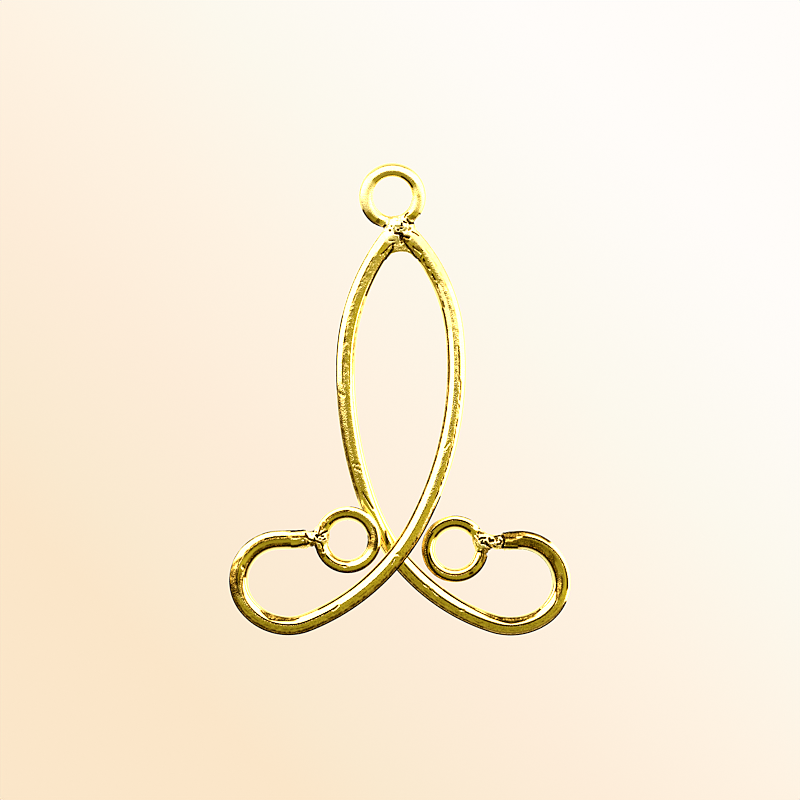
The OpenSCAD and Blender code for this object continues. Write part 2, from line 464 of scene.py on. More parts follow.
RIGHT_CRACKS_AND_SHADE_LINES = (
    (5, 7, 100, (478.4, 527.4), (479.4, 527.4)), (5, 7, 100, (477.2, 532.6), (478.2, 531.6)),
    (5, 5, 70, (480, 532.4), (483, 532.7)), (5, 6, 100, (476.6, 535.6), (477.4, 536.6)),
    (6, 8, 100, (478.6, 538.8), (480.8, 537.6), (484.8, 537.3)),
    (5, 8, 100, (482, 540), (480.8, 542.9), (483.3, 542.9), (487, 544.4)),
    (6, 8, 100, (484.5, 541), (486.7, 543.8), (489, 546), (492, 548.5)),
    (8, 10, 100, (488.9, 538.2), (489.5, 540.7), (492.6, 539.8)),
    (6, 6, 90, (493.9, 536.3), (497, 535.4), (499.5, 534.8)),
    (6, 5, 80, (495.8, 537.3), (496.1, 540.4)),
    (7.5, 7, 100, (500.1, 532.3), (502, 536), (503.9, 539.1), (503.3, 542.9), (502, 546.6)),
    (5, 6, 100, (499.5, 539.8), (501, 541), (499.5, 543.5), (497, 543.8)),
    (5, 6, 90, (493.3, 545.2), (494.6, 546)), (6, 5, 100, (492, 548.5), (490.1, 551), (488.9, 552.9)),
    (5, 5, 90, (485.1, 548.5), (488.9, 548.5)),
    (5.5, 4, 90, (477.6, 551), (480.8, 551.6), (480.8, 556), (478.6, 560.5)),
    (5, 6, 70, (485.6, 553), (486.6, 554)), (8, 0, 100, (486.8, 556.5), (484.2, 562.5), (480.5, 567.5)),
    (5.5, 0, 100, (478.6, 560.5), (475.5, 564.5), (472, 567.5)),
    (5, 0, 100, (502.6, 532.2), (507, 531.6), (525, 531.8)),
    (8.5, 2, 90, (505.8, 537.3), (512, 536.9), (525, 537.3)),
    (7, 0, 70, (505.8, 543.3), (511, 543.3), (525, 543.8)),
    (7, 0, 100, (502.6, 546.6), (509.5, 546.9), (525, 547.2)),
)
# Tints of the joints: place on the photo in pixels, radius in hundredths of a millimetre, and how
# dark with painted shade and how pale in percent
TOP_TINTS = (
    (390, 228, 55, 0, 100), (400, 224, 60, 0, 90), (407, 230, 40, 0, 90), (397, 238, 25, 0, 80),
    (406, 240, 16, 50, 0), (403, 238, 20, 55, 0), (400, 246, 45, 22, 45), (400, 250, 40, 22, 45),
    (391, 238, 40, 0, 80), (394, 236, 35, 0, 90), (413, 236, 40, 0, 40), (419, 244, 30, 0, 30),
    (411, 231, 30, 12, 0), (418, 237.5, 40, 18, 0), (425, 245, 40, 22, 0), (418, 249, 25, 35, 0),
    (376, 221, 20, 50, 0), (413, 218, 20, 35, 0),
)
LEFT_TINTS = (
    (313, 531, 50, 0, 100), (321, 536, 35, 0, 100), (313, 544, 20, 60, 0), (306, 541, 16, 50, 0),
    (321.5, 527, 16, 58, 0), (324, 523.5, 18, 58, 0), (328, 520, 16, 58, 0), (320, 549, 16, 58, 0),
    (322, 555, 18, 58, 0),
)
RIGHT_TINTS = (
    (484, 541, 45, 0, 100), (497, 540, 40, 0, 100), (484, 551, 24, 60, 0), (490, 549, 16, 50, 0),
    (496, 538, 12, 60, 0), (506, 535, 25, 62, 0), (511, 535, 28, 62, 0), (516, 534, 28, 62, 0),
    (521, 534, 28, 62, 0), (508, 541, 28, 42, 0), (516, 541, 28, 42, 0), (484, 558, 30, 50, 0),
)

# Solder of a lower joint: how far its neck runs back from the wire's end and on beyond the gap, its
# bead's place beyond the gap and above the line of the wire, and the bead's radius
NECK_BACK, NECK_ON = 0.2, 0.3
BEAD_ON, BEAD_RISE, BEAD_R = 0.27, 0.08, 0.52
# The middle of a lower joint lies this far beyond the middle of the gap
JOINT_ON = 0.1
# The two beads of the top joint: distance from the middle line, height above the tips and radius
TIP_BEAD_X, TIP_BEAD_RISE, TIP_BEAD_R = 0.32, 0.42, 0.5
# The middle of the top joint lies this far below the tips
TOP_DROP = 0.15


def lower_joint(hook, eye, gap, neck_r, reach, rough, cracks_and_shade_lines, tints):
    """The joint of a hook's end with its eye: a neck and a bead of solder."""
    turn, place = hook.end_frame()

    def beyond(x, y=0):
        return place + turn @ np.array((x, y, 0))

    neck = rod(beyond(-NECK_BACK), beyond(gap + NECK_ON), neck_r)
    solder = (neck, bead(beyond(gap + BEAD_ON, BEAD_RISE), BEAD_R))
    wires = (hook.near_end, eye.distance)
    return Joint(beyond(gap / 2 + JOINT_ON), reach, wires, solder, rough, cracks_and_shade_lines, tints)


tip_beads = [bead((x, TIP_Y + TIP_BEAD_RISE, REST_Z), TIP_BEAD_R) for x in (-TIP_BEAD_X, TIP_BEAD_X)]
top_joint = Joint(
    (0, TIP_Y - TOP_DROP, REST_Z), reach=1.55, rough=0.04,
    wires=(over_hook.near_tip, under_hook.near_tip, top_eye.distance), solder=(*tip_beads, web),
    cracks_and_shade_lines=TOP_CRACKS_AND_SHADE_LINES, tints=TOP_TINTS)
left_joint = lower_joint(
    over_hook, left_eye, OVER_GAP, neck_r=0.45, reach=1.2, rough=0.03,
    cracks_and_shade_lines=LEFT_CRACKS_AND_SHADE_LINES, tints=LEFT_TINTS)
right_joint = lower_joint(
    under_hook, right_eye, UNDER_GAP, neck_r=0.41, reach=1.35, rough=0.05,
    cracks_and_shade_lines=RIGHT_CRACKS_AND_SHADE_LINES, tints=RIGHT_TINTS)
JOINTS = (top_joint, left_joint, right_joint)

# Marks on the upper side of the wires, by length from the tip in millimetres, and by distance to the
# right of the wire's middle line in hundredths, like their widths and depths. How worn, how dark with
# tarnish and painted shade, how pale or how broken up they are is in percent. Most dark lines are
# painted shade: dark reflections and shadows painted along the rims and between the bands of light,
# and some dark patches paint shade over highlights. Zeros at the end of a row are left out.
Patch = namedtuple("Patch", "start end left right depth worn dark pale")
Line = namedtuple("Line", "s x s2 x2 width depth dark broken")
LENGTHS = ("start", "end", "s", "s2")
# On an eye, the length is an azimuth in degrees, each of them this long, and the distance is outwards
EYE_DEGREE = math.radians(EYE_R)


def listed(kind, rows, length_unit=1):
    """Marks of one kind in millimetres and shares, out of rows as they are in the tables."""
    made = []
    for row in rows:
        full = row + (0,) * (len(kind._fields) - len(row))
        values = [v * length_unit if name in LENGTHS else v / PARTS for name, v in zip(kind._fields, full)]
        made.append(kind(*values))
    return made


OVER_PATCHES = listed(Patch, (
    (0.3, 3.3, 10, 42, 5, 100, 15, 20), (3.2, 5.6, 6, 34, 0, 30, 0, 70),
    (0.3, 3.6, -16, 8, 1, 90, 14, 30), (3, 8.6, -20, 8, 1.5, 100, 5, 25),
    (8.2, 15.2, -26, 7, 1, 90, 10), (15, 29.5, -40, 0, 0.4, 75, 5), (21, 29.5, -50, -32, 0, 50, 30),
    (28, 30, -42, -20, 0.8, 100, 30), (28.5, 29.8, -50, -2, 0, 30, 66), (27.2, 28.8, 0, 9, 0, 60, 50),
    (28.4, 29.8, 0, 20, 0, 60, 50), (30.5, 34.2, -16, 0, 0, 60, 50), (0.3, 3.4, -50, -10, 0, 30, 22),
    (29.6, 34.2, 15, 30, 0, 60, 50), (24.9, 27, 20, 40, 0, 60, 66), (31.5, 34.2, -20, 10, 0.4, 80, 15),
))
UNDER_PATCHES = listed(Patch, (
    (0.3, 3, 2, 34, 1, 100, 5, 40), (0.3, 4, -14, 24, 3.5, 100, 5, 30),
    (4, 8.7, -17, 22, 3.5, 100, 6, 20), (0.6, 8.7, -15, -4, 0, 80, 35),
    (8.7, 14.6, -50, -30, 2, 100, 50), (8.7, 14.6, -30, 18, 1, 100, 15),
    (18.8, 23, -42, -32, 0, 50, 30), (18.8, 28.5, -42, 0, 0.3, 75, 5), (32.5, 34, -46, -20, 0, 30, 60),
    (28.4, 29.7, -10, 17, 0, 30, 62), (29, 33.5, -20, 20, 0.4, 60, 15), (30.4, 34, -12, 35, 0, 60, 42),
    (28.8, 34, 8, 30, 0, 60, 45), (23.9, 26.9, 20, 42, 0, 60, 66),
))
OVER_LINES = listed(Line, (
    (0.8, 42, 1.6, 43, 4, 0, 100), (0.4, 22, 2.2, 26, 7, 3, 100, 90), (2.2, 26, 3.2, 25, 6, 3, 100, 90),
    (3.2, 28, 4.5, 30, 5, 2, 80, 90), (0.5, -18, 6, -20, 5, 0, 40, 40),
    (4.5, 38, 8.6, 38.5, 5, 0, 100, 30), (6.6, 38.5, 8.5, 38.5, 5.5, 0, 100),
    (8.6, 38.5, 15, 40, 5, 0, 100, 30), (22.7, 2, 27, 3, 4.5, 1, 100, 10), (27, 3, 28.6, 12, 4, 1, 95),
    (28.6, 12, 29.6, 26, 4, 1, 95), (6.7, -14, 8.5, -14, 4, 2, 80, 30),
    (8.5, -26, 14.8, -30, 4.5, 1.2, 85, 80), (15, 40, 23.5, 36, 5, 0, 100, 20),
    (11.7, -12, 12.1, 6, 4.5, 3, 30), (18.2, -24, 18.3, 4, 4.5, 3.5, 30),
    (18.6, -2, 18.9, -8, 4.5, 3, 50), (22.5, 4, 22.8, -2, 5, 4, 80), (24.7, 34, 25.9, 20, 4.5, 2, 95),
    (25.9, 20, 26.4, 14, 4.5, 2, 95, 30), (26.4, 14, 27.1, 33, 4.5, 2, 95),
    (25.4, 32, 26.6, 30, 4, 0, 60, 60), (29.85, -47, 30.35, -18, 11, 0, 60),
    (29.5, 33, 34.2, 32, 7.5, 0, 100), (30.05, 10, 30.07, 10, 7, 6, 90),
    (29.6, -16, 34.2, -18, 4, 1, 80, 60), (31.9, -12, 33, -14, 4, 3, 90),
    (14.6, -50, 17.5, -49, 6, 0, 100), (17.5, -49, 29.3, -49, 8, 0, 100),
    (17, -36, 29.3, -37, 9, 0, 65, 70), (19, -20, 28, -22, 5, 0, 40, 90),
    (29.3, -49, 34.2, -49, 4, 0, 80, 50),
))
UNDER_LINES = listed(Line, (
    (1.5, -44, 5.3, -46, 3.5, 0, 50, 50), (5, -46, 8.8, -46, 4, 0, 90, 20),
    (5.3, -13, 8.7, -13, 3.5, 1, 70, 70), (1.2, 43, 3.6, 41, 5, 0, 100),
    (3.6, 41, 8, 40, 3.5, 0, 70, 40), (8.8, -42, 14.2, -42, 5, 0, 80, 50),
    (8.9, -45, 9.1, -10, 5, 3, 60), (12.7, -20, 12.85, 15, 4, 3, 60), (12.95, -15, 13.15, 12, 4, 3, 50),
    (14.3, -10, 15.3, 12, 5, 3, 80), (16.7, 20, 17.3, -5, 8, 1, 85), (18.7, 2, 28.2, 2, 3.5, 1, 92, 10),
    (28.2, 2, 28.8, 18, 4, 1, 95), (17.5, 40, 21.3, 40, 4, 0, 85, 20), (21.2, 42, 23.3, 34, 4.5, 1, 90),
    (23.3, 34, 24.6, 24, 4.5, 2, 95), (24.6, 24, 25.4, 16, 4.5, 2, 90),
    (25.4, 16, 26.2, 22, 4.5, 2, 90), (26.2, 22, 27.3, 40, 4.5, 2, 90, 20),
    (20.1, -4, 20.5, 6, 4, 2, 40), (20.7, 8, 21.1, -2, 4, 2, 40), (22.5, -5, 22.75, 7, 4.5, 2.5, 50),
    (23.7, -25, 23.9, -12, 5, 3, 40), (28.3, -20, 28.6, 12, 4, 2), (28.6, -15, 28.9, 20, 4, 2),
    (29, -34, 30.2, -30, 4.5, 1, 90, 10), (30.2, -30, 32.6, -18, 4.5, 1, 90, 10),
    (28.8, 22, 30, 27, 7, 0, 100), (30, 27, 33.8, 30, 8, 0, 100), (18.6, -49, 28.4, -49, 8, 0, 100),
    (18.6, -37, 24, -37, 7, 0, 65, 60), (19, -22, 28, -22, 5, 0, 40, 90),
    (31.4, -45, 34, -45, 9, 0, 90, 20), (29.5, 48, 33.8, 46, 3, 0, 50, 30),
))
TOP_PATCHES = listed(Patch, (
    (30, 140, -25, -2, 0, 90, 15, 30), (208, 254, 6, 30, 0.4, 80, 25), (220, 262, -25, -14, 0, 40, 20),
    (303, 325, 0, 28, 0.4, 80, 36), (140, 215, -30, 30, 0.2, 30, 0, 70),
    (205, 262, -30, 4, 0, 30, 0, 50), (325, 360, -30, 30, 0.2, 30, 0, 60),
    (0, 25, -30, 30, 0.2, 30, 0, 60),
), EYE_DEGREE)
TOP_LINES = listed(Line, (
    (25, -25, 65, -26, 5.5, 0, 100), (65, -27, 140, -26, 4, 0, 40, 30), (45, 26, 110, 25, 4, 0, 25),
    (205, 31, 225, 33, 5, 0, 100), (225, 33, 252, 34, 5.5, 0, 100), (308, 32, 326, 32, 7, 0, 100),
), EYE_DEGREE)
LEFT_PATCHES = listed(Patch, (
    (0, 160, -20, 15, 0.4, 80, 10), (86, 165, 3, 15, 0, 60, 60), (0, 30, 5, 15, 0, 60, 60),
    (0, 14, -40, 10, 0, 50, 58), (337, 360, -40, 15, 0, 50, 60), (190, 360, 0, 30, 0.3, 50, 5),
    (225, 262, -24, -12, 0.3, 60, 25),
), EYE_DEGREE)
LEFT_LINES = listed(Line, (
    (55, 34, 85, 36, 5, 0, 70, 20), (0, 15, 26, 16, 4.5, 0, 95), (88, 13, 160, 15, 4.5, 1, 95, 10),
    (20, -24, 60, -21, 6.5, 0, 100), (60, -21, 100, -18, 6.5, 0, 100),
    (100, -18, 155, -13, 6.5, 0, 100), (190, 34, 210, 34, 10, 0, 100), (210, 34, 250, 33, 10, 0, 100),
    (250, 33, 300, 29, 8, 0, 100), (300, 29, 345, 30, 6, 0, 100), (188, 0, 268, 0, 5, 1, 95),
    (220, -19, 275, -21, 5, 0, 75, 20), (340, 15, 359, 15, 5.5, 0, 95),
    (0, -20, 18, -22, 6.5, 0, 100, 20), (101, -20, 103, -20, 3, -4), (262, 0, 265, 4, 4, 3, 40),
), EYE_DEGREE)
RIGHT_PATCHES = listed(Patch, (
    (40, 150, -15, 14, 0.4, 70, 10), (140, 205, 2, 20, 0.4, 90, 50), (120, 255, 22, 40, 0, 30, 40),
    (205, 340, -2, 26, 0.3, 50, 5), (330, 352, -10, 12, 0.4, 90, 40),
), EYE_DEGREE)
RIGHT_LINES = listed(Line, (
    (45, 13, 95, 15, 5, 1, 95, 10), (95, 15, 145, 13, 5, 1, 95, 10), (34, -17, 90, -15, 7, 0, 100),
    (90, -15, 147, -18, 6.5, 0, 100), (145, 6, 205, 10, 7, 0, 95, 20), (205, 12, 240, 22, 7, 0, 100),
    (240, 22, 290, 28, 7, 0, 100), (290, 28, 345, 34, 7, 0, 100), (190, -4, 240, -6, 5.5, 1, 100),
    (240, -6, 300, -5, 5.5, 1, 100), (300, -5, 335, -2, 5.5, 1, 100), (302, 13, 306, 13, 7, 5, 90),
    (240, -25, 280, -25, 4, 0, 35), (60, 35, 95, 36, 5, 0, 50, 40),
), EYE_DEGREE)
# Humps on the inner side of the foot: middle, offset, half length, half width, height, all in
# millimetres
OVER_HUMPS = ((26, 0.36, 0.7, 0.1, 0.06),)
UNDER_HUMPS = ((25.4, 0.34, 1.1, 0.12, 0.08),)
# Where the shading of the wires' upper side leans inwards: length, degrees
OVER_LEANS = ((27.5, 0), (29.6, 12), (34, 12))
UNDER_LEANS = ((27.5, 0), (29.5, 20), (33.5, 20))
# The same for the eyes: degrees on the average, and more of them towards +Y
TOP_LEAN = (-6, -6)
LEFT_LEAN = (11.5, 6.5)
RIGHT_LEAN = (10.5, 8)
# The lean starts at the middle of a wire's side and is full above the second height, 1 being the
# wire's top, and it fades out over this distance from a joint
LEAN_HEIGHTS = (0, 0.5)
LEAN_FADE = 0.4
# Softness of the ends and sides of patches
PATCH_END, PATCH_SIDE = 0.25, 0.05
# Marks begin between these heights on a wire, 1 being its top and 0 the middle of its sides
MARK_HEIGHTS = (-0.3, 0)
# Sizes of the coarse and fine unevenness in a patch, its mean and the share of each
UNEVEN_SIZES, UNEVEN_MEAN, UNEVEN_SHARE = (0.24, 0.11), 0.5, 0.35
# How dark a patch's tarnish and painted shade is, in shares of its own value: where least uneven, and
# how much more where most
DARK_LEAST, DARK_MORE = 0.6, 0.8
# Broken lines: size of their gaps, and the noise below which they are gone and above which whole
BREAK_SIZE, BREAKS = 0.13, (-0.25, 0.15)
# Depths fade out over this distance from a joint
MARK_FADE = 0.2


def beyond_joints(points):
    """Distance from the balls of the joints, negative inside them."""
    return np.min([joint.off(points) - joint.reach for joint in JOINTS], axis=0)


def band(x, low, high, soft):
    """1 between low and high, fading to 0 outside."""
    return smooth_step(x, low - soft, low + soft) * (1 - smooth_step(x, high - soft, high + soft))


def marks(s, x, up, points, patches, lines, humps):
    """Depth of the marks on a wire's surface, and how worn, how dark with tarnish and painted shade, and
    how pale it is there.
    """
    depth, worn, dark, pale = np.zeros((4, len(points)))
    top = smooth_step(up, *MARK_HEIGHTS)
    coarse, fine = UNEVEN_SIZES
    uneven = UNEVEN_MEAN + UNEVEN_SHARE * lumps.at(points, coarse) + UNEVEN_SHARE * grain.at(points, fine)
    uneven = np.clip(uneven, 0, 1)
    breaks = smooth_step(grain.at(points, BREAK_SIZE), *BREAKS)
    for patch in patches:
        here = band(s, patch.start, patch.end, PATCH_END)
        here = here * band(x, patch.left, patch.right, PATCH_SIDE) * top
        depth += here * patch.depth * uneven
        worn = np.maximum(worn, here * patch.worn)
        # Dark patches are tarnish and painted shade laid over highlights
        dark = np.maximum(dark, here * patch.dark * (DARK_LEAST + DARK_MORE * uneven))
        pale = np.maximum(pale, here * patch.pale)
    spread = np.stack((s, x), 1)
    for line in lines:
        off = off_segment(spread, np.array((line.s, line.x)), np.array((line.s2, line.x2)))
        here = top * np.exp(-(off / line.width) ** 2) * (1 - line.broken * (1 - breaks))
        depth += line.depth * here
        # Dark lines are painted shade: dark reflections and shadows along rims and between bands of light
        dark = np.maximum(dark, line.dark * here)
    for middle, offset, half_length, half_width, height in humps:
        along, across = (s - middle) / half_length, (x - offset) / half_width
        depth -= top * height * np.exp(-along ** 2 - across ** 2)
    return depth * smooth_step(beyond_joints(points), 0, MARK_FADE), worn, dark, pale


def slope_of(field, points, h=0.004):
    """Gradient of a field, taken over a distance of h to each side."""
    steps = np.eye(3) * h
    return np.stack([(field(points + step) - field(points - step)) / (2 * h) for step in steps], 1)


def contour(field, low, high, step):
    """Closed mesh of the surface where a field is 0: one vertex in each cell that it passes through."""
    counts = [int(math.ceil((b - a) / step)) + 1 for a, b in zip(low, high)]
    axes = [a + step * np.arange(n) for a, n in zip(low, counts)]
    points = np.stack(np.meshgrid(*axes, indexing="ij"), -1).reshape(-1, 3)
    value = field(points).reshape(counts)
    # Each cell gets the mean of the places where the surface crosses its edges
    cut = [tuple(slice(c, n - 1 + c) for c, n in zip(corner, counts)) for corner in CORNERS]
    at_corner = np.stack([value[c] for c in cut], -1)
    mixed = (at_corner.min(-1) < 0) & (at_corner.max(-1) >= 0)
    cells = np.argwhere(mixed)
    v = at_corner[mixed]
    total = np.zeros((len(cells), 3))
    count = np.zeros(len(cells))
    for a, b in combinations(range(len(CORNERS)), 2):
        edge = CORNERS[b] - CORNERS[a]
        if np.abs(edge).sum() == 1:
            crossed = (v[:, a] < 0) != (v[:, b] < 0)
            t = np.where(crossed, v[:, a] / np.where(crossed, v[:, a] - v[:, b], 1), 0)
            total += np.where(crossed[:, None], CORNERS[a] + t[:, None] * edge, 0)
            count += crossed
    verts = low + step * (cells + total / count[:, None])
    # Each crossed edge of the grid gets a face between the four cells round it
    number = np.full([n - 1 for n in counts], -1)
    number[mixed] = np.arange(len(cells))
    inside = value < 0
    axis_steps = np.eye(3, dtype=int)
    quads = []
    for d in range(3):
        e, f = axis_steps[d - 2], axis_steps[d - 1]
        base = np.argwhere(np.diff(inside, axis=d))
        ids = np.stack([number[tuple(r.T)] for r in (base - e - f, base - f, base, base - e)], 1)
        rising = inside[tuple(base.T)]
        ids[~rising] = ids[~rising][:, ::-1]
        quads.append(ids)
    return verts, np.concatenate(quads)


# Half the height of the space in which a joint is meshed
JOINT_HALF_HEIGHT = 0.75
# How its vertices are then moved onto the surface: rounds, the most that one may move them, in steps
# of the mesh, and the least square of a slope that a move is divided by
PULLS, PULL_MOST, LEAST_SLOPE = 3, 0.7, 0.05


def pull_on(field, points):
    """Moves points onto the surface where a field is 0."""
    for _ in range(PULLS):
        g = slope_of(field, points)
        move = -field(points)[:, None] * g / np.maximum((g * g).sum(1), LEAST_SLOPE)[:, None]
        length = np.linalg.norm(move, axis=1, keepdims=True)
        points = points + move * np.minimum(1, SOLDER_STEP * PULL_MOST / np.maximum(length, TINY))
    return points


def joint_mesh(joint):
    """Vertices, faces, normals and look of a joint."""
    size = np.array((1, 1, 0)) * (joint.reach + 2 * DIVE_WIDTH)
    size[2] = JOINT_HALF_HEIGHT
    verts, quads = contour(joint.field, joint.centre - size, joint.centre + size, SOLDER_STEP)
    verts = pull_on(joint.field, verts)
    looks = np.stack(joint.look(verts), 1)
    return verts, quads.tolist(), unit(slope_of(joint.metal, verts)), np.concatenate((looks, verts), 1)


def grid_normals(grid, out):
    """Normals of a grid of points along and round a wire, on the side of out."""
    around = np.roll(grid, -1, 1) - np.roll(grid, 1, 1)
    along = np.empty_like(grid)
    along[1:-1] = grid[2:] - grid[:-2]
    along[0], along[-1] = grid[1] - grid[0], grid[-1] - grid[-2]
    normal = unit(np.cross(along, around))
    return normal * np.sign((normal * out).sum(-1, keepdims=True))


def leaned(normals, side, up, lean):
    """Normals turned towards one side of a wire by an angle, fading out towards its underside."""
    a = (lean * smooth_step((normals * up).sum(-1), *LEAN_HEIGHTS))[..., None]
    return normals * np.cos(a) + np.cross(np.cross(up, side), normals) * np.sin(a)


def tube_mesh(along, s, centres, sides, ups, lean, r, ring_count, listed_marks):
    """Vertices, faces, normals and look of a round wire along its centres, with flat ends.

    Its material goes by the lengths in along, and its marks by those in s.
    """
    n = len(centres)
    angle = np.arange(ring_count) * 2 * math.pi / ring_count
    angle = angle + CROWDING * np.cos(angle)
    out = sides[:, None] * np.cos(angle)[None, :, None] + ups[:, None] * np.sin(angle)[None, :, None]
    surface = centres[:, None] + r * out
    flat = surface.reshape(-1, 3)
    angle = np.tile(angle, n)
    depth, *look = marks(np.repeat(s, ring_count), r * np.cos(angle), np.sin(angle), flat, *listed_marks)
    marked = flat - depth[:, None] * out.reshape(-1, 3)
    normals = grid_normals(marked.reshape(surface.shape), out)
    away = beyond_joints(flat).reshape(surface.shape[:2])
    lean = np.radians(lean)[:, None] * smooth_step(away, 0, LEAN_FADE)
    normals = leaned(normals, sides[:, None], ups[:, None], lean).reshape(-1, 3)
    for joint in JOINTS:
        depth = depth + joint.sink(flat)
    verts = flat - depth[:, None] * out.reshape(-1, 3)
    number = np.arange(n * ring_count).reshape(n, ring_count)
    a, b = number[:-1], number[1:]
    quads = np.stack((a, b, np.roll(b, -1, 1), np.roll(a, -1, 1)), -1).reshape(-1, 4)
    faces = quads.tolist() + [number[0][::-1].tolist(), number[-1].tolist()]
    path = (np.repeat(along, ring_count), r * angle, np.zeros(len(angle)))
    return verts, faces, normals, np.stack((*look, *path), 1)


def in_joint(points):
    """Whether points lie deep enough in a joint for a wire's mesh to have ended."""
    return beyond_joints(points) < -2 * DIVE_WIDTH


def hook_tube(hook, patches, lines, humps, leans):
    """Mesh of a hook's wire, between its joints."""
    s = np.arange(0, hook.bent_length + hook.lead, WIRE_STEP)
    centres, rights, ups = hook.frames(s)
    keep = ~in_joint(centres)
    s = s[keep]
    lean = np.interp(s, *zip(*leans))
    return tube_mesh(s, s, centres[keep], rights[keep], ups[keep], lean, HOOK_R, WIRE_SIDES,
                     (patches, lines, humps))


def eye_tube(eye, patches, lines, lean):
    """Mesh of an eye, which starts and ends in its joint."""
    count = int(2 * math.pi * EYE_R / EYE_STEP)
    a = np.arange(count) * 2 * math.pi / count
    centres, outs, ups = eye.frames(a)
    gone = in_joint(centres)
    first = int(np.argmax(gone & ~np.roll(gone, -1))) + 1
    order = (first + np.arange(count)) % count
    order = order[~gone[order]]
    azimuth = np.degrees(np.arctan2(outs[order, 1], outs[order, 0])) % 360
    lean = -(lean[0] + lean[1] * np.sin(np.radians(azimuth)))
    along = EYE_R * np.unwrap(a[order])
    return tube_mesh(along, azimuth * EYE_DEGREE, centres[order], outs[order], ups[order], lean, EYE_WIRE_R,
                     EYE_SIDES, (patches, lines, ()))


def mesh_object(name, verts, faces):
    """An object of a closed mesh whose faces look outwards, from vertices in millimetres."""
    mesh = bpy.data.meshes.new(name)
    mesh.from_pydata((verts * MM).tolist(), [], faces)
    mesh.validate()
    work = bmesh.new()
    work.from_mesh(mesh)
    bmesh.ops.recalc_face_normals(work, faces=work.faces)
    if work.calc_volume(signed=True) < 0:
        bmesh.ops.reverse_faces(work, faces=work.faces)
    work.to_mesh(mesh)
    work.free()
    obj = bpy.data.objects.new(name, mesh)
    bpy.context.scene.collection.objects.link(obj)
    return obj


def build_connector():
    """The whole connector: wires, eyes and solder, joined into one closed mesh."""
    surfaces = [
        hook_tube(over_hook, OVER_PATCHES, OVER_LINES, OVER_HUMPS, OVER_LEANS),
        hook_tube(under_hook, UNDER_PATCHES, UNDER_LINES, UNDER_HUMPS, UNDER_LEANS),
        eye_tube(top_eye, TOP_PATCHES, TOP_LINES, TOP_LEAN),
        eye_tube(left_eye, LEFT_PATCHES, LEFT_LINES, LEFT_LEAN),
        eye_tube(right_eye, RIGHT_PATCHES, RIGHT_LINES, RIGHT_LEAN)]
    surfaces += [joint_mesh(joint) for joint in JOINTS]
    verts, faces, normals, looks = zip(*surfaces)
    parts = [mesh_object(f"part_{i}", *given) for i, given in enumerate(zip(verts, faces))]
    whole = parts[-1]
    for part in parts[:-1]:
        union = whole.modifiers.new(part.name, "BOOLEAN")
        union.operation = "UNION"
        union.solver = "MANIFOLD"
        union.object = part
    bpy.context.view_layer.update()
    made = bpy.data.meshes.new_from_object(whole.evaluated_get(bpy.context.evaluated_depsgraph_get()))
    for part in parts:
        bpy.data.objects.remove(part)
    made.name = "connector"
    made.materials.clear()
    connector = bpy.data.objects.new("connector", made)
    bpy.context.scene.collection.objects.link(connector)
    shade(connector, np.concatenate(verts), np.concatenate(normals), np.concatenate(looks))
    return connector


def shade(obj, verts, normals, looks):
    """Gives each vertex the true normal, and the look, of the surface that it came from."""
    tree = kdtree.KDTree(len(verts))
    for i, v in enumerate(verts):
        tree.insert(v * MM, i)
    tree.balance()
    nearest = [tree.find(v.co)[1] for v in obj.data.vertices]
    obj.data.polygons.foreach_set("use_smooth", [True] * len(obj.data.polygons))
    obj.data.normals_split_custom_set_from_vertices(normals[nearest].tolist())
    for i, name in enumerate(LOOKS):
        attribute = obj.data.attributes.new(name, "FLOAT", "POINT")
        attribute.data.foreach_set("value", looks[nearest, i].astype(np.float32))
    attribute = obj.data.attributes.new(PATH, "FLOAT_VECTOR", "POINT")
    attribute.data.foreach_set("vector", looks[nearest, len(LOOKS):].astype(np.float32).ravel())


# Names of the attributes that carry the look and the place along and round a wire to the material
LOOKS = ("worn", "dark", "pale")
PATH = "path"
# Gold: its colour where clean, where solder shows through, where the plating is brownish, where it
# is tarnished and where shade is painted on it, and the black of painted shade in the dark lines,
# cracks and pits
CLEAN = (0.97, 0.76, 0.27, 1)
SOLDERED = (0.98, 0.88, 0.50, 1)
BROWNISH = (0.45, 0.28, 0.045, 1)
TARNISHED_AND_PAINTED_SHADE = (0.15, 0.08, 0.006, 1)
PAINTED_BLACK_SHADE = (0.02, 0.005, 0.001, 1)
WHITE = (1, 1, 1, 1)
# Sizes of the noises of the material in metres, and how often the one for streaks changes per
# millimetre along and round a wire
GRAIN_SIZE = 0.00007
PATCH_SIZE = 0.0005
STREAK = (11, 3, 1)
# Roughness where polished, where worn, and on pale solder
POLISHED, WORN_ROUGH, SOLDER_ROUGH = 0.06, 0.14, 0.42
# Height of the grain's bumps where polished and where worn, in metres
SMOOTH_BUMP, WORN_BUMP = 0.000003, 0.00001


